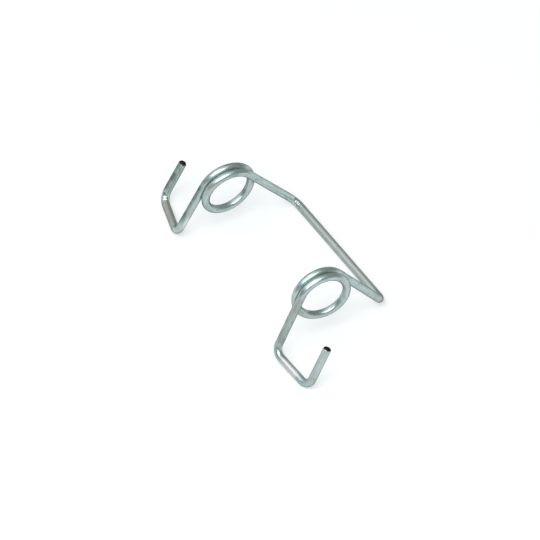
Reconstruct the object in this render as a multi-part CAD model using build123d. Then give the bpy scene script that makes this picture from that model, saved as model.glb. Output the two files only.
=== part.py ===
from build123d import *
import os
from math import atan2, cos, pi, radians, sin, tan

# Double torsion spring, formed from one length of round zinc-plated wire.
# A U-shaped bail (a straight bridge with an arm at each end) runs into two coils of opposite hand.
# From the outer turn of each coil a straight leg runs down and ends in a square hook.
# The part stands as it comes to rest: on its bridge and both hooks, with the coils at the top.
# +X runs along the bridge to the right coil, +Z is up, and the hooks are in front of the bridge.
# The origin is on the floor, under the middle of the part.
# Sizes are in millimetres and degrees. Lengths run between the corners of the wire's centre line.

# Wire
WIRE_D = 3.0
END_CHAMFER = 0.25

# Coils
COIL_INNER_D = 16.3
TURN_GAP = 0.18
FULL_TURNS = 1
LEG_PAST_TURN = 116.0

# Bail
BAIL_WIDTH = 61.7
ARM_LENGTH = 29.5
BAIL_BEND_R = 3.6
RIGHT_ARM_DROP = 1.9

# Legs and hooks
LEG_LENGTH = 24.6
HOOK_WIDTH = 19.8
HOOK_TIP_LENGTH = 17.7
HOOK_BEND_R = 3.8
HOOK_TWIST = 14.6
FOOT_BEND = 86.5
TIP_BEND = 92.8

# Set left by the forming: each coil is turned a little about its own arm
LEAN_LEFT = 5.8
LEAN_RIGHT = -6.5

SQUARE = 90.0
WHOLE_TURN = 360.0
LEFT = -1
RIGHT = 1

# How finely the feet are searched for the points that touch the floor
SPOTS_PER_EDGE = 60
STANDING_ROUNDS = 8


class WireFormer:
    """Follows a wire as a forming machine makes it: feed, bend, twist and coil.

    It holds the end point, the direction of feed and the side that the next bend turns to.
    hand is RIGHT, or LEFT for the mirror image.
    """

    def __init__(self, point, forward, side, hand):
        self.point = point
        self.forward = forward
        self.side = side
        self.hand = hand
        self.edges = []

    def feed(self, length):
        """A straight run."""
        end = self.point + self.forward * length
        self.edges.append(Edge.make_line(self.point, end))
        self.point = end

    def twist(self, angle):
        """Turns the side that the next bend goes to about the wire."""
        self.side = self.side.rotate(Axis((0, 0, 0), self.forward), angle * self.hand)

    def bend(self, angle, radius):
        """An arc of the given centre-line radius."""
        turn = radians(angle)
        middle = self.arc_point(turn / 2, radius)
        end = self.arc_point(turn, radius)
        self.edges.append(Edge.make_three_point_arc(self.point, middle, end))
        self.point = end
        old_forward = self.forward
        old_side = self.side
        self.forward = old_forward * cos(turn) + old_side * sin(turn)
        self.side = old_side * cos(turn) - old_forward * sin(turn)

    def arc_point(self, turn, radius):
        """A point on the bend that starts here."""
        return self.point + self.side * (radius * (1 - cos(turn))) + self.forward * (radius * sin(turn))

    def coil(self, angle, radius, pitch):
        """A helix that starts and ends tangent to the straight runs beside it."""
        turn = radians(angle)
        rise = atan2(pitch, 2 * pi * radius)
        height = pitch * angle / WHOLE_TURN
        across = self.forward.cross(self.side) * self.hand
        axis = self.forward * sin(rise) + across * cos(rise)
        around = self.forward * cos(rise) - across * sin(rise)
        base = Plane(origin=self.point + self.side * radius, x_dir=-self.side, z_dir=axis)
        helix = Edge.make_helix(pitch, height, radius, lefthand=self.hand == LEFT)
        self.edges.append(base.location * helix)
        outward = around * sin(turn) - self.side * cos(turn)
        circling = around * cos(turn) + self.side * sin(turn)
        self.point = base.origin + outward * radius + axis * height
        self.forward = circling * cos(rise) + axis * sin(rise)
        self.side = -outward


def setback(angle, radius):
    """How far before its corner a bend starts."""
    return radius * tan(radians(angle) / 2)


def half_of_wire(hand, lean, arm_drop):
    """The edges from one end of the bridge to the hook tip on that side."""
    bail_setback = setback(SQUARE, BAIL_BEND_R)
    foot_setback = setback(FOOT_BEND, HOOK_BEND_R)
    tip_setback = setback(TIP_BEND, HOOK_BEND_R)
    coil_radius = (COIL_INNER_D + WIRE_D) / 2
    start = Vector(hand * (BAIL_WIDTH / 2 - bail_setback), 0, 0)
    wire = WireFormer(start, Vector(hand, 0, 0), Vector(0, -1, 0), hand)
    wire.twist(-arm_drop)
    wire.bend(SQUARE, BAIL_BEND_R)
    wire.feed(ARM_LENGTH - bail_setback)
    wire.twist(SQUARE + lean)
    wire.coil(WHOLE_TURN * FULL_TURNS + LEG_PAST_TURN, coil_radius, WIRE_D + TURN_GAP)
    wire.feed(LEG_LENGTH - foot_setback)
    wire.twist(SQUARE - HOOK_TWIST)
    wire.bend(FOOT_BEND, HOOK_BEND_R)
    wire.feed(HOOK_WIDTH - foot_setback - tip_setback)
    wire.bend(TIP_BEND, HOOK_BEND_R)
    wire.feed(HOOK_TIP_LENGTH - tip_setback)
    return wire.edges


def lowest_spot(edges, up):
    """The lowest point of the centre line on these edges."""
    spots = [edge @ (step / SPOTS_PER_EDGE) for edge in edges for step in range(SPOTS_PER_EDGE + 1)]
    return min(spots, key=lambda spot: spot.dot(up))


def standing_direction(feet, up):
    """The upward direction once the lowest spot of each of the three feet is on the floor."""
    for _ in range(STANDING_ROUNDS):
        first, second, third = (lowest_spot(edges, up) for edges in feet)
        normal = (second - first).cross(third - first).normalized()
        up = normal if normal.dot(up) > 0 else -normal
    return up


def wire_along(edges):
    """One solid of round wire along the edges, with both cut ends chamfered."""
    path = Wire(edges)
    section = Plane(origin=path @ 0, z_dir=path % 0) * Circle(WIRE_D / 2)
    wire = sweep(section, path=path)
    ends = wire.faces().filter_by(GeomType.PLANE)
    return chamfer(ends.edges(), END_CHAMFER)


def stood_on_floor(solid, up):
    """The solid with up as +Z and the origin on the floor under its middle."""
    along_bridge = Vector(1, 0, 0) - up * up.X
    upright = Plane(origin=(0, 0, 0), x_dir=along_bridge, z_dir=up).location.inverse() * solid
    box = upright.bounding_box()
    return Pos(-box.center().X, -box.center().Y, -box.min.Z) * upright


def spring_wire():
    left = half_of_wire(LEFT, LEAN_LEFT, 0)
    right = half_of_wire(RIGHT, LEAN_RIGHT, RIGHT_ARM_DROP)
    bridge = Edge.make_line(left[0] @ 0, right[0] @ 0)
    left_hook = left[-4:]
    right_hook = right[-4:]
    up = standing_direction([left_hook, right_hook, [bridge]], Vector(0, -1, 1).normalized())
    return stood_on_floor(wire_along(left + [bridge] + right), up)


os.makedirs("parts", exist_ok=True)
spring = spring_wire()
spring.label = "spring_wire"
export_step(spring, "parts/spring_wire.step")
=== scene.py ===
import bpy
from collections import namedtuple
from math import atan2, ceil, cos, exp, pi, radians, sin, tan
from mathutils import Matrix, Quaternion, Vector


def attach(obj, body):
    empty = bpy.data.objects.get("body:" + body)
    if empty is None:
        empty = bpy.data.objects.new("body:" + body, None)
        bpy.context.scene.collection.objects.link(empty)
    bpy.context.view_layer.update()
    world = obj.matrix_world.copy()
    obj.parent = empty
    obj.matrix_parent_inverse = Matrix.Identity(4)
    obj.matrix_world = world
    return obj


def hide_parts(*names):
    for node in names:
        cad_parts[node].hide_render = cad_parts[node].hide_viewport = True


# A double torsion spring of zinc-plated wire. The shown wire is swept along the path that the part's source
# forms, with the dents of the bending tools and the bulge of the sheared ends added.
# Lengths are in millimetres and angles in degrees, up to the points of the mesh, which are in metres.

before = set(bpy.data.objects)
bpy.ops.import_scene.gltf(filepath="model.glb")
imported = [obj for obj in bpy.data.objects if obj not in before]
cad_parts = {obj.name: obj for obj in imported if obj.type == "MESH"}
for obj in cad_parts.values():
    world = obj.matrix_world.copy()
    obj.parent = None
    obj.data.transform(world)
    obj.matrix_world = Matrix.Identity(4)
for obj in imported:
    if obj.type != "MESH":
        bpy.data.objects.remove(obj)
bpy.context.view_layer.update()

MM = 0.001
SQUARE = 90
WHOLE_TURN = 360
LEFT = -1
RIGHT = 1
HOOK_RUNS = 4         # each half ends in a foot, a cross, a heel and a tip

# ---------------------------------------------------------------- sizes, as in the part
WIRE_D = 3.0
COIL_INNER_D = 16.3
TURN_GAP = 0.18
FULL_TURNS = 1
LEG_PAST_TURN = 116.0
BAIL_WIDTH = 61.7
ARM_LENGTH = 29.5
BAIL_BEND_R = 3.6
RIGHT_ARM_DROP = 1.9
LEG_LENGTH = 24.6
HOOK_WIDTH = 19.8
HOOK_TIP_LENGTH = 17.7
HOOK_BEND_R = 3.8
HOOK_TWIST = 14.6
FOOT_BEND = 86.5
TIP_BEND = 92.8
LEAN_LEFT = 5.8
LEAN_RIGHT = -6.5
STANDING_ROUNDS = 8
WIRE_R = WIRE_D / 2

# ---------------------------------------------------------------- the surface's fineness, and its sheared ends
POINTS_AROUND = 64
LONG_STEP = 0.42      # between stations on straight runs and coils
BEND_STEP = 0.16      # between stations in the bends, where the tool marks are
BULGE = 0.60          # how far each sheared face bulges
BULGE_ROUNDS = 5
BULGE_STEP = 16       # degrees from one round of the bulge to the next
END_MARGIN = 0.4      # the last bit of wire at each end, which the rim's own rounds take up
# Rounds of the rim: how far back from the end, how far in from the surface, and how much of it is bare steel
RIM = [(0.30, 0.0, 0.0), (0.20, 0.008, 0.0), (0.10, 0.035, 0.0), (0.02, 0.085, 0.15), (-0.03, 0.135, 1.0)]
FACE_RISE = 0.03      # where the bulge starts, past the wire's end and in from its surface
FACE_INSET = 0.135


# ---------------------------------------------------------------- the wire's path
def turned(vector, axis, angle):
    return Quaternion(axis, radians(angle)) @ vector


class WireFormer:
    """Feeds, bends, twists and coils the wire as the part's source does, and keeps the stations."""

    def __init__(self, point, forward, side, hand):
        self.point = point
        self.forward = forward
        self.side = side
        self.hand = hand
        self.runs = []

    def run(self, name, length, step, place):
        count = max(2, ceil(length / step))
        self.runs.append((name, [place(k / count) for k in range(count + 1)]))
        self.point = self.runs[-1][1][-1]

    def feed(self, name, length):
        start = self.point.copy()
        way = self.forward.copy()
        self.run(name, length, LONG_STEP, lambda t: start + way * (length * t))

    def twist(self, angle):
        self.side = turned(self.side, self.forward, angle * self.hand)

    def bend(self, name, angle, radius):
        turn = radians(angle)
        start = self.point.copy()
        way = self.forward.copy()
        side = self.side.copy()

        def place(t):
            return start + side * (radius * (1 - cos(turn * t))) + way * (radius * sin(turn * t))

        self.run(name, radius * turn, BEND_STEP, place)
        self.forward = way * cos(turn) + side * sin(turn)
        self.side = side * cos(turn) - way * sin(turn)

    def coil(self, name, angle, radius, pitch):
        turn = radians(angle)
        rise = atan2(pitch, 2 * pi * radius)
        across = self.forward.cross(self.side) * self.hand
        axis = self.forward * sin(rise) + across * cos(rise)
        around = self.forward * cos(rise) - across * sin(rise)
        side = self.side.copy()
        centre = self.point + side * radius

        def place(t):
            a = turn * t
            return centre + (around * sin(a) - side * cos(a)) * radius + axis * (pitch * a / (2 * pi))

        self.run(name, turn * radius / cos(rise), LONG_STEP, place)
        outward = around * sin(turn) - side * cos(turn)
        circling = around * cos(turn) + side * sin(turn)
        self.forward = circling * cos(rise) + axis * sin(rise)
        self.side = -outward


def setback(angle, radius):
    """How far a bend of that radius reaches from the corner that it rounds."""
    return radius * tan(radians(angle) / 2)


def half_of_wire(hand, lean, arm_drop):
    """The runs of one half, from the bridge's end to the hook's."""
    bail_setback = setback(SQUARE, BAIL_BEND_R)
    foot_setback = setback(FOOT_BEND, HOOK_BEND_R)
    tip_setback = setback(TIP_BEND, HOOK_BEND_R)
    start = Vector((hand * (BAIL_WIDTH / 2 - bail_setback), 0, 0))
    wire = WireFormer(start, Vector((hand, 0, 0)), Vector((0, -1, 0)), hand)
    wire.twist(-arm_drop)
    wire.bend("corner", SQUARE, BAIL_BEND_R)
    wire.feed("arm", ARM_LENGTH - bail_setback)
    wire.twist(SQUARE + lean)
    coil_angle = WHOLE_TURN * FULL_TURNS + LEG_PAST_TURN
    wire.coil("coil", coil_angle, (COIL_INNER_D + WIRE_D) / 2, WIRE_D + TURN_GAP)
    wire.feed("leg", LEG_LENGTH - foot_setback)
    wire.twist(SQUARE - HOOK_TWIST)
    wire.bend("foot", FOOT_BEND, HOOK_BEND_R)
    wire.feed("cross", HOOK_WIDTH - foot_setback - tip_setback)
    wire.bend("heel", TIP_BEND, HOOK_BEND_R)
    wire.feed("tip", HOOK_TIP_LENGTH - tip_setback)
    return wire.runs


def standing_direction(feet, up):
    """Which way is up when the wire rests on one point of each foot."""
    for _ in range(STANDING_ROUNDS):
        first, second, third = (min(spots, key=lambda spot: spot.dot(up)) for spots in feet)
        normal = (second - first).cross(third - first).normalized()
        up = normal if normal.dot(up) > 0 else -normal
    return up


def whole_path():
    """Stations from the left hook's end to the right one's, turned as the spring stands, and each run's span."""
    left = half_of_wire(LEFT, LEAN_LEFT, 0)
    right = half_of_wire(RIGHT, LEAN_RIGHT, RIGHT_ARM_DROP)
    bridge_start = left[0][1][0]
    bridge_end = right[0][1][0]
    count = ceil((bridge_end - bridge_start).length / LONG_STEP)
    bridge = [bridge_start.lerp(bridge_end, k / count) for k in range(count + 1)]
    hooks = [[point for _, run in half[-HOOK_RUNS:] for point in run] for half in (left, right)]
    up = standing_direction(hooks + [bridge], Vector((0, -1, 1)).normalized())
    along_x = (Vector((1, 0, 0)) - up * up.x).normalized()
    stand = Matrix((along_x, up.cross(along_x), up))
    runs = [("left_" + name, list(reversed(run))) for name, run in reversed(left)]
    runs.append(("bridge", bridge))
    runs += [("right_" + name, run) for name, run in right]
    stations = []
    spans = {}
    for name, run in runs:
        first = max(len(stations) - 1, 0)
        stations += [stand @ point for point in (run[1:] if stations else run)]
        spans[name] = (first, len(stations) - 1)
    return stations, spans


def forward_at(i):
    ahead = stations[min(i + 1, len(stations) - 1)]
    behind = stations[max(i - 1, 0)]
    return (ahead - behind).normalized()


def reach(axis, sign, furthest):
    """How far the round wire reaches along an axis, whichever way sign points."""
    return furthest(p[axis] + sign * WIRE_R * (1 - f[axis] ** 2) ** 0.5 for p, f in zip(stations, forwards))


stations, spans = whole_path()
forwards = [forward_at(i) for i in range(len(stations))]

# The part's box is centred over the origin, and the part stands on the floor.
low = [reach(axis, -1, min) for axis in range(3)]
high = [reach(axis, 1, max) for axis in range(3)]
offset = Vector((-(low[0] + high[0]) / 2, -(low[1] + high[1]) / 2, -low[2]))
stations = [point + offset for point in stations]

along = [0.0]         # each station's distance along the wire
for here, following in zip(stations, stations[1:]):
    along.append(along[-1] + (following - here).length)
WIRE_LENGTH = along[-1]

# Axes across the wire that follow it without twisting, so the drawn streaks run straight along it
normals = [forwards[0].orthogonal().normalized()]
for here, following in zip(forwards, forwards[1:]):
    normals.append(here.rotation_difference(following) @ normals[-1])
normals = [(n - f * n.dot(f)).normalized() for n, f in zip(normals, forwards)]
binormals = [f.cross(n) for f, n in zip(forwards, normals)]


def place_on_wire(run, share):
    """Distance along the wire at a share of a run, which starts from the bridge's side on either half."""
    first, last = spans[run]
    if run.startswith("left_"):
        first, last = last, first
    return along[first] + (along[last] - along[first]) * share


def station_at(distance):
    return min(range(len(along)), key=lambda i: abs(along[i] - distance))


def angle_facing(distance, way):
    """The angle around the wire, at that distance, whose surface faces the given way."""
    i = station_at(distance)
    return atan2(Vector(way).dot(binormals[i]), Vector(way).dot(normals[i]))


def smooth_step(low, high, value):
    t = min(max((value - low) / (high - low), 0.0), 1.0)
    return t * t * (3 - 2 * t)


# ---------------------------------------------------------------- tool marks, and darker, browner or paler stretches, with painted shade and painted light on the sides that face a way
class Mark:
    """A shallow dent: run and share place it, and way says which side of the wire it is on."""

    LENGTHS_FELT = 4      # past this many lengths, and a little more for its bow, it is left out
    BOW_FELT = 1.0

    def __init__(self, run, share, way, depth, length, breadth, bow=0.0, polish_and_painted_highlight=1.0, stain=0.0):
        self.at = place_on_wire(run, share)
        self.angle = angle_facing(self.at, way)
        self.depth = depth
        self.length = length
        self.breadth = breadth
        self.bow = bow
        self.polish_and_painted_highlight = polish_and_painted_highlight
        self.stain = stain

    def reaches(self, distance):
        return abs(distance - self.at) < self.LENGTHS_FELT * self.length + self.BOW_FELT

    def weight(self, distance, angle):
        turn = (angle - self.angle + pi) % (2 * pi) - pi
        across = turn * WIRE_R
        off = distance - self.at - self.bow * across * across
        return exp(-(off / self.length) ** 2 - (across / self.breadth) ** 4)


class ToneAndPaintedLight:
    """A stretch that is darker, browner or paler all round, or only on the side that faces a way; on that side the
    darker and browner colour is painted shade and the paler colour painted light.
    """

    FADE = 1.5            # to each side of the stretch's ends
    FACING = (0.1, 0.85)  # how well the surface faces the way where the painted shade and light start, and where they are full

    def __init__(self, run, start, end, way=None, dark_and_painted_shade=0.0, brown_and_painted_shade=0.0, painted_light=0.0):
        self.low, self.high = sorted((place_on_wire(run, start), place_on_wire(run, end)))
        self.way = Vector(way).normalized() if way else None
        self.values = (dark_and_painted_shade, brown_and_painted_shade, painted_light)

    def along_weight(self, distance):
        rising = smooth_step(self.low - self.FADE, self.low + self.FADE, distance)
        falling = smooth_step(self.high - self.FADE, self.high + self.FADE, distance)
        return rising * (1 - falling)

    # Where the stretch has a way, this lays its painted shade and painted light on the side that faces it; with no
    # way it is 1.
    def around_weight(self, outward):
        return 1.0 if self.way is None else smooth_step(*self.FACING, outward.dot(self.way))


FRONT_UP = (0.62, -0.32, 0.72)
# The side that is painted darker, as painted shade, on the left tip, leg and coil
PAINTED_SHADE_SIDE = (-0.51, -0.86, 0.06)
BEND_FRONT = (0.35, -0.60, 0.70)
BEND_TOP = (0.45, -0.45, 0.75)
BEND_SIDE = (0.30, -0.65, 0.70)
MARKS = [
    Mark("bridge", 0.030, BEND_FRONT, 0.10, 0.32, 0.80, bow=0.12, polish_and_painted_highlight=0.5),
    Mark("left_corner", 0.06, BEND_FRONT, 0.20, 0.28, 0.85, bow=0.15),
    Mark("left_corner", 0.17, BEND_TOP, 0.06, 0.22, 0.70, bow=0.15, polish_and_painted_highlight=0.0, stain=0.9),
    Mark("left_corner", 0.34, BEND_SIDE, 0.22, 0.28, 0.95, bow=0.15),
    Mark("left_corner", 0.45, BEND_TOP, 0.06, 0.25, 0.75, bow=0.15, polish_and_painted_highlight=0.0, stain=1.0),
    Mark("left_corner", 0.58, BEND_SIDE, 0.18, 0.26, 0.85, bow=0.15),
    Mark("left_corner", 0.92, (0.10, -0.90, 0.40), 0.10, 0.40, 0.55, bow=0.10),
    Mark("left_heel", 0.30, FRONT_UP, 0.16, 0.30, 0.75),
    Mark("left_heel", 0.44, FRONT_UP, 0.05, 0.18, 0.60, polish_and_painted_highlight=0.0, stain=0.9),
    Mark("left_heel", 0.58, FRONT_UP, 0.18, 0.32, 0.80),
    Mark("left_heel", 0.84, (0.30, -0.60, 0.70), 0.05, 0.35, 0.60, polish_and_painted_highlight=0.0, stain=0.9),
    Mark("left_foot", 0.45, FRONT_UP, 0.08, 0.60, 1.00, polish_and_painted_highlight=0.6),
    # A real shallow dent whose polished colour is a painted highlight
    Mark("left_leg", 0.84, (0.72, 0.30, 0.45), 0.07, 2.2, 0.95),
    Mark("bridge", 0.47, FRONT_UP, 0.03, 0.25, 1.60, polish_and_painted_highlight=0.2),
]
TONES_AND_PAINTED_LIGHT = [
    ToneAndPaintedLight("left_cross", -0.15, 1.10, brown_and_painted_shade=0.8),
    ToneAndPaintedLight("bridge", 0.06, 0.96, brown_and_painted_shade=0.40),
    # Painted light: the upper side of the bridge painted paler
    ToneAndPaintedLight("bridge", 0.05, 0.97, way=(0.0, 0.15, 1.0), painted_light=0.38),
    ToneAndPaintedLight("left_tip", 0.0, 1.0, dark_and_painted_shade=0.42),
    # Painted shade on the front-left side of the left tip
    ToneAndPaintedLight("left_tip", 0.0, 0.97, way=PAINTED_SHADE_SIDE, dark_and_painted_shade=0.9),
    # Painted shade, darker and browner, on the front-left side of the left leg
    ToneAndPaintedLight("left_leg", 0.0, 0.9, way=PAINTED_SHADE_SIDE, dark_and_painted_shade=0.9, brown_and_painted_shade=0.3),
    # Painted shade on the front-left side of the left coil's last stretch
    ToneAndPaintedLight("left_coil", 0.55, 1.0, way=PAINTED_SHADE_SIDE, dark_and_painted_shade=0.30),
    # A painted highlight along the right cross, on its side that faces the way
    ToneAndPaintedLight("right_cross", 0.12, 0.86, way=(0.15, -0.55, 0.8), painted_light=0.9),
    ToneAndPaintedLight("right_leg", 0.0, 1.0, brown_and_painted_shade=0.30, dark_and_painted_shade=0.15),
]


# ---------------------------------------------------------------- the wire's surface
# One round of points: cut says how far it is bare sheared steel.
Ring = namedtuple("Ring", "distance centre normal binormal radius cut")


def end_rings(i, sign):
    """The rounded rim and the bulging sheared face at one end, from the wire outward."""
    bulge = []
    for k in range(1, BULGE_ROUNDS + 1):
        lift = radians(BULGE_STEP * k)
        bulge.append((-FACE_RISE - BULGE * sin(lift), (WIRE_R - FACE_INSET) * cos(lift), 1.0))
    rim = [(back, WIRE_R - inset, cut) for back, inset, cut in RIM]
    return [Ring(along[i] - sign * back, stations[i] - forwards[i] * (sign * back), normals[i], binormals[i],
                 radius, cut)
            for back, radius, cut in rim + bulge]


def wire_rings():
    inner = [Ring(along[i], stations[i], normals[i], binormals[i], WIRE_R, 0.0)
             for i in range(len(stations)) if END_MARGIN < along[i] < WIRE_LENGTH - END_MARGIN]
    return list(reversed(end_rings(0, -1))) + inner + end_rings(len(stations) - 1, 1)


def marked(distance, angle, marks):
    """How deep the marks are at a point, and how far they make it polished and stained; on the long dent on the left
    leg the polished colour is a painted highlight.
    """
    depth = polish_and_painted_highlight = stain = 0.0
    for mark in marks:
        weight = mark.weight(distance, angle)
        depth += mark.depth * weight
        polish_and_painted_highlight += mark.polish_and_painted_highlight * weight
        stain += mark.stain * weight
    return depth, min(polish_and_painted_highlight, 1.0), min(stain, 1.0)


def tone_and_painted_light_shares(outward, tones_and_painted_light):
    """The darker, browner and paler shares at a point, which are painted shade and painted light where a stretch
    faces a way.
    """
    shades = [0.0, 0.0, 0.0]
    for tone_and_painted_light, share in tones_and_painted_light:
        weight = share * tone_and_painted_light.around_weight(outward)
        shades = [1 - (1 - shade) * (1 - weight * value) for shade, value in zip(shades, tone_and_painted_light.values)]
    return shades


class Skin:
    """The wire's points and faces, with what the plating's material reads at each point, painted shade and painted
    light among it.
    """

    def __init__(self):
        self.points = []
        self.faces = []
        # unrolled is the place on the wire laid out straight, wear_and_painted_highlight holds polish, stain and cut
        # (with a painted highlight on the left leg's long dent), and tone_and_painted_light holds dark, brown and
        # pale, painted shade and light where they face a way.
        self.read = {"unrolled": [], "wear_and_painted_highlight": [], "tone_and_painted_light": []}

    def add_point(self, point, unrolled, wear_and_painted_highlight, tone_and_painted_light):
        self.points.append(point * MM)
        self.read["unrolled"].append(unrolled)
        self.read["wear_and_painted_highlight"].append(wear_and_painted_highlight)
        self.read["tone_and_painted_light"].append(tone_and_painted_light)

    def add_ring(self, ring):
        marks = [mark for mark in MARKS if mark.reaches(ring.distance)]
        tones_and_painted_light = [(tone_and_painted_light, tone_and_painted_light.along_weight(ring.distance)) for tone_and_painted_light in TONES_AND_PAINTED_LIGHT]
        tones_and_painted_light = [(tone_and_painted_light, share) for tone_and_painted_light, share in tones_and_painted_light if share > 0]
        for k in range(POINTS_AROUND):
            angle = 2 * pi * k / POINTS_AROUND
            outward = ring.normal * cos(angle) + ring.binormal * sin(angle)
            depth, polish_and_painted_highlight, stain = marked(ring.distance, angle, marks)
            self.add_point(ring.centre + outward * (ring.radius - depth),
                           (ring.distance, WIRE_R * cos(angle), WIRE_R * sin(angle)),
                           (polish_and_painted_highlight, stain, ring.cut), tone_and_painted_light_shares(outward, tones_and_painted_light))

    def join_rings(self, count):
        for a in range(0, (count - 1) * POINTS_AROUND, POINTS_AROUND):
            for k in range(POINTS_AROUND):
                j = (k + 1) % POINTS_AROUND
                self.faces.append((a + k, a + j, a + POINTS_AROUND + j, a + POINTS_AROUND + k))

    def close_end(self, i, ring, sign):
        top = stations[i] + forwards[i] * (BULGE + FACE_RISE) * sign
        self.add_point(top, (along[i], 0.0, 0.0), (0.0, 0.0, 1.0), (0.0, 0.0, 0.0))
        tip = len(self.points) - 1
        a = ring * POINTS_AROUND
        for k in range(POINTS_AROUND):
            edge = (a + k, a + (k + 1) % POINTS_AROUND)
            self.faces.append((*(edge if sign > 0 else reversed(edge)), tip))


def wire_mesh():
    skin = Skin()
    rings = wire_rings()
    for ring in rings:
        skin.add_ring(ring)
    skin.join_rings(len(rings))
    skin.close_end(0, 0, -1)
    skin.close_end(len(stations) - 1, len(rings) - 1, 1)
    mesh = bpy.data.meshes.new("zinc_wire")
    mesh.from_pydata(skin.points, [], skin.faces)
    for name, values in skin.read.items():
        attribute = mesh.attributes.new(name, "FLOAT_VECTOR", "POINT")
        attribute.data.foreach_set("vector", [part for value in values for part in value])
    uv = mesh.uv_layers.new(name="wire")
    for poly in mesh.polygons:
        for loop in poly.loop_indices:
            distance, y, z = skin.read["unrolled"][mesh.loops[loop].vertex_index]
            uv.data[loop].uv = (distance / WIRE_LENGTH, (atan2(z, y) / (2 * pi)) % 1.0)
    mesh.shade_smooth()
    mesh.validate()
    mesh.update()
    return mesh


wire = bpy.data.objects.new("zinc_wire", wire_mesh())
bpy.context.scene.collection.objects.link(wire)
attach(wire, "root")
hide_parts("spring_wire")


# ---------------------------------------------------------------- zinc plating, with painted shade and painted light in its colour
class Nodes:
    """Adds nodes to a tree; a value given to a socket is either a constant or another node's output."""

    def __init__(self, tree):
        self.tree = tree
        tree.nodes.clear()

    def add(self, kind, inputs=None, **settings):
        node = self.tree.nodes.new(kind)
        for key, value in settings.items():
            setattr(node, key, value)
        for key, value in (inputs or {}).items():
            self.put(node.inputs[key], value)
        return node

    def put(self, socket, value):
        if isinstance(value, bpy.types.NodeSocket):
            self.tree.links.new(value, socket)
        else:
            socket.default_value = value

    def math(self, operation, a, b, clamp=False):
        return self.add("ShaderNodeMath", {0: a, 1: b}, operation=operation, use_clamp=clamp).outputs[0]

    def scaled(self, value, factor):
        return self.math("MULTIPLY", value, factor)

    def band(self, value, low, high):
        """0 on low's side, 1 on high's, and smooth in between."""
        return self.add("ShaderNodeMapRange", {"Value": value, "From Min": low, "From Max": high},
                        interpolation_type="SMOOTHSTEP").outputs[0]

    def mix(self, share, first, second):
        """Two colours mixed; the node's sockets for colour are its seventh, eighth and third."""
        node = self.add("ShaderNodeMix", {0: share, 6: first, 7: second}, data_type="RGBA")
        return node.outputs[2]

    def read(self, name):
        return self.add("ShaderNodeAttribute", attribute_name=name).outputs["Vector"]

    def parts(self, vector):
        return self.add("ShaderNodeSeparateXYZ", {0: vector}).outputs

    def noise(self, vector, stretch, detail, roughness, distortion=0.0):
        """Noise; stretch is its waves to a millimetre along the wire and in the two directions across it."""
        place = self.add("ShaderNodeMapping", {"Vector": vector, "Scale": stretch}).outputs[0]
        return self.add("ShaderNodeTexNoise", {"Vector": place, "Scale": 1.0, "Detail": detail,
                                               "Roughness": roughness, "Distortion": distortion}).outputs["Fac"]


ZINC_DULL = (0.40, 0.49, 0.475, 1)
ZINC_BRIGHT = (0.54, 0.635, 0.62, 1)
ZINC_BLUISH = (0.42, 0.575, 0.62, 1)
ZINC_WARM = (0.55, 0.545, 0.50, 1)
ZINC_MOTTLE = (0.20, 0.29, 0.275, 1)
ZINC_PATCH = (0.42, 0.41, 0.36, 1)
# Browner and darker colours; on the sides that face a way they are painted shade
ZINC_BROWN_AND_PAINTED_SHADE = (0.42, 0.385, 0.335, 1)
ZINC_DARK_AND_PAINTED_SHADE = (0.085, 0.135, 0.12, 1)
# The paler colour of painted light and painted highlights
PAINTED_LIGHT_PALE = (0.72, 0.665, 0.665, 1)
ZINC_LINE = (0.66, 0.74, 0.73, 1)
# Polished metal at the tool marks, and a painted highlight on the left leg's long dent
POLISHED_AND_PAINTED_HIGHLIGHT = (0.84, 0.89, 0.89, 1)
STAINED = (0.055, 0.065, 0.055, 1)
SHEARED_DARK = (0.020, 0.015, 0.012, 1)
SHEARED_LIGHT = (0.075, 0.055, 0.045, 1)
EDGE_TINT = (0.10, 0.13, 0.12, 1)
METALLIC = 0.88
PLAIN_ROUGHNESS = 0.235
BUMP_STRENGTH = 0.06
BUMP_HEIGHT = 0.00003     # metres


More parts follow.
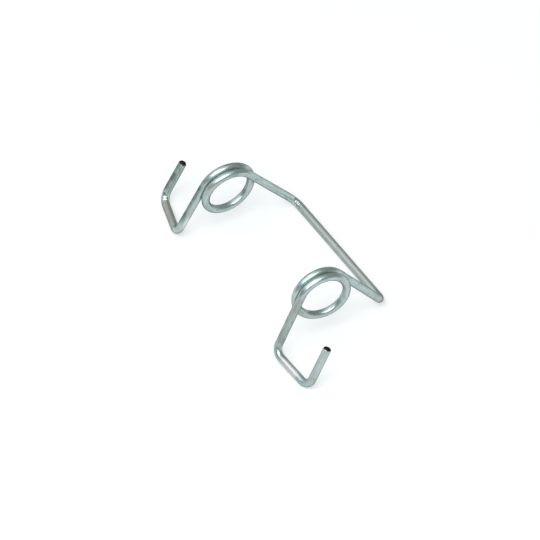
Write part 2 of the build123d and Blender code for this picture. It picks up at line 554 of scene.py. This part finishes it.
def zinc_material():
    material = bpy.data.materials.new("zinc_plating_and_painted_light")
    material.use_nodes = True
    t = Nodes(material.node_tree)
    unrolled = t.read("unrolled")
    polish_and_painted_highlight, stain, cut = t.parts(t.read("wear_and_painted_highlight"))
    # Darker, browner and paler shares; where a stretch faces a way they are painted shade and painted light
    dark_and_painted_shade, brown_and_painted_shade, painted_light = t.parts(t.read("tone_and_painted_light"))
    streaks = t.noise(unrolled, (0.10, 1.6, 1.6), 4.0, 0.6)
    fine = t.noise(unrolled, (0.35, 5.0, 5.0), 3.0, 0.6)
    mottle = t.noise(unrolled, (0.28, 0.55, 0.55), 3.0, 0.50, 0.4)
    patches = t.noise(unrolled, (0.07, 0.35, 0.35), 2.0, 0.5)
    tint = t.noise(unrolled, (0.16, 0.5, 0.5), 3.0, 0.5)
    grain = t.noise(unrolled, (7.0, 7.0, 7.0), 2.0, 0.5)
    broken = t.math("ADD", 0.55, t.scaled(t.band(mottle, 0.35, 0.65), 0.45))

    layers = [
        (t.scaled(t.band(tint, 0.50, 0.70), 0.6), ZINC_BLUISH),
        (t.scaled(t.band(tint, 0.47, 0.32), 0.5), ZINC_WARM),
        (t.scaled(t.band(mottle, 0.48, 0.78), 0.6), ZINC_MOTTLE),
        (t.scaled(t.band(patches, 0.55, 0.70), 0.35), ZINC_PATCH),
        # Browner, darker and paler colour, which is painted shade and painted light on the sides that face a way
        (t.scaled(brown_and_painted_shade, broken), ZINC_BROWN_AND_PAINTED_SHADE),
        (t.scaled(dark_and_painted_shade, broken), ZINC_DARK_AND_PAINTED_SHADE),
        (t.scaled(painted_light, broken), PAINTED_LIGHT_PALE),
        (t.scaled(t.band(fine, 0.55, 0.80), 0.12), ZINC_LINE),
        # Polished metal at the tool marks, and a painted highlight on the left leg's long dent
        (t.scaled(polish_and_painted_highlight, 0.85), POLISHED_AND_PAINTED_HIGHLIGHT),
        (t.scaled(stain, 0.85), STAINED),
        (cut, t.mix(t.band(grain, 0.4, 0.65), SHEARED_DARK, SHEARED_LIGHT)),
    ]
    colour = t.mix(t.band(streaks, 0.28, 0.74), ZINC_DULL, ZINC_BRIGHT)
    for share, paint in layers:
        colour = t.mix(share, colour, paint)

    roughness = PLAIN_ROUGHNESS
    for share, more in ((t.band(mottle, 0.40, 0.72), 0.15), (brown_and_painted_shade, 0.22), (painted_light, 0.27), (cut, 0.2)):
        roughness = t.math("ADD", roughness, t.scaled(share, more), clamp=True)

    height = t.math("ADD", t.scaled(streaks, 0.9), t.scaled(fine, 0.35))
    height = t.math("ADD", height, t.scaled(grain, 0.05))
    bump = t.add("ShaderNodeBump", {"Height": height, "Strength": BUMP_STRENGTH, "Distance": BUMP_HEIGHT})
    shader = t.add("ShaderNodeBsdfPrincipled", {
        "Base Color": colour, "Metallic": METALLIC, "Specular Tint": EDGE_TINT, "Roughness": roughness,
        "Normal": bump.outputs[0]})
    t.add("ShaderNodeOutputMaterial", {"Surface": shader.outputs[0]})
    return material


wire.data.materials.append(zinc_material())

# ---------------------------------------------------------------- floor and room
WHITE = (1, 1, 1, 1)
FLOOR_HALF = 6.0                       # metres
FLOOR_COLOUR = (0.90, 0.90, 0.90, 1)
FLOOR_ROUGHNESS = 0.5
FLOOR_GLOW = 0.45                      # share of plain white that the floor shows, without lighting the wire
ROOM = (0.265, 0.295, 0.285, 1)
HORIZON = (0.78, 0.79, 0.79, 1)
CEILING = (0.80, 0.82, 0.82, 1)


def floor_material():
    """A pale matt floor that is nearer to white where it is looked at or reflected, and keeps its shadows."""
    material = bpy.data.materials.new("pale_floor")
    material.use_nodes = True
    t = Nodes(material.node_tree)
    matt = t.add("ShaderNodeBsdfDiffuse", {"Color": FLOOR_COLOUR, "Roughness": FLOOR_ROUGHNESS})
    glow = t.add("ShaderNodeEmission", {"Color": WHITE, "Strength": 1.0})
    path = t.add("ShaderNodeLightPath").outputs
    seen = t.math("MAXIMUM", path["Is Camera Ray"], path["Is Glossy Ray"])
    seen = t.math("MAXIMUM", seen, path["Is Transmission Ray"])
    both = t.add("ShaderNodeMixShader", {0: t.scaled(seen, FLOOR_GLOW), 1: matt.outputs[0], 2: glow.outputs[0]})
    t.add("ShaderNodeOutputMaterial", {"Surface": both.outputs[0]})
    return material


corners = [(x * FLOOR_HALF, y * FLOOR_HALF, 0) for x, y in ((-1, -1), (1, -1), (1, 1), (-1, 1))]
floor_mesh = bpy.data.meshes.new("floor")
floor_mesh.from_pydata(corners, [], [(0, 1, 2, 3)])
floor = bpy.data.objects.new("floor", floor_mesh)
bpy.context.scene.collection.objects.link(floor)
floor.data.materials.append(floor_material())

# A dim room with a pale horizon and a pale ceiling; height runs from 0 at the horizon to 1 overhead.
world = bpy.data.worlds.new("studio")
bpy.context.scene.world = world
world.use_nodes = True
sky = Nodes(world.node_tree)
height = sky.parts(sky.add("ShaderNodeTexCoord").outputs["Generated"])[2]
room = sky.mix(sky.band(height, 0.12, 0.04), ROOM, HORIZON)
room = sky.mix(sky.band(height, 0.80, 0.97), room, CEILING)
background = sky.add("ShaderNodeBackground", {"Color": room, "Strength": 1.0})
sky.add("ShaderNodeOutputWorld", {"Surface": background.outputs[0]})

# ---------------------------------------------------------------- camera
VIEW_AZIMUTH = 152.753              # the way it looks, turned from +X towards +Y
VIEW_ELEVATION = -45.79
VIEW_ROLL = 4.565                   # about the line of sight
VIEW_OFFSET = (3.956, 1.422)        # to the right and down, which puts the spring in its place in the picture
AIM_HEIGHT = 0.012                  # metres above the floor
CAMERA_DISTANCE = 3.0               # metres
CAMERA_REACH = 50
PIXELS_PER_MM = 2.7706
PICTURE_WIDTH = 540
SENSOR_WIDTH = 36

azimuth, elevation = radians(VIEW_AZIMUTH), radians(VIEW_ELEVATION)
view_forward = Vector((cos(elevation) * cos(azimuth), cos(elevation) * sin(azimuth), sin(elevation)))
level = view_forward.cross(Vector((0, 0, 1))).normalized()
view_right = turned(level, view_forward, VIEW_ROLL)
view_down = view_forward.cross(view_right)
aim = -(view_right * VIEW_OFFSET[0] + view_down * VIEW_OFFSET[1]) * MM
aim_depth = Vector((0, 0, AIM_HEIGHT)).dot(view_forward)
camera_data = bpy.data.cameras.new("camera")
camera_data.sensor_width = SENSOR_WIDTH
camera_data.lens = PIXELS_PER_MM * SENSOR_WIDTH / PICTURE_WIDTH * CAMERA_DISTANCE / MM
camera_data.clip_end = CAMERA_REACH
camera = bpy.data.objects.new("camera", camera_data)
bpy.context.scene.collection.objects.link(camera)
turn = Matrix((view_right, -view_down, -view_forward)).transposed().to_4x4()
camera.matrix_world = Matrix.Translation(aim + view_forward * (aim_depth - CAMERA_DISTANCE)) @ turn
bpy.context.scene.camera = camera

# ---------------------------------------------------------------- lamps
LAMP_TARGET = Vector((0, 0, 0.01))
LAMP_COLOUR = (0.93, 0.985, 1.0)


def softbox(name, place, width, power):
    """A square lamp, in metres and watts, that faces the spring."""
    light = bpy.data.lights.new(name, "AREA")
    light.shape = "RECTANGLE"
    light.size = light.size_y = width
    light.energy = power
    light.color = LAMP_COLOUR
    lamp = bpy.data.objects.new(name, light)
    bpy.context.scene.collection.objects.link(lamp)
    way = (LAMP_TARGET - Vector(place)).normalized()
    lamp.matrix_world = Matrix.Translation(place) @ way.to_track_quat("-Z", "Y").to_matrix().to_4x4()


softbox("key", (0.47, -0.30, 0.83), 0.86, 7.6)
softbox("side_key", (-0.04, -0.50, 0.87), 0.75, 2.6)
softbox("fill", (-0.72, -0.26, 0.64), 1.1, 2.3)

bpy.context.scene.view_settings.view_transform = "Standard"
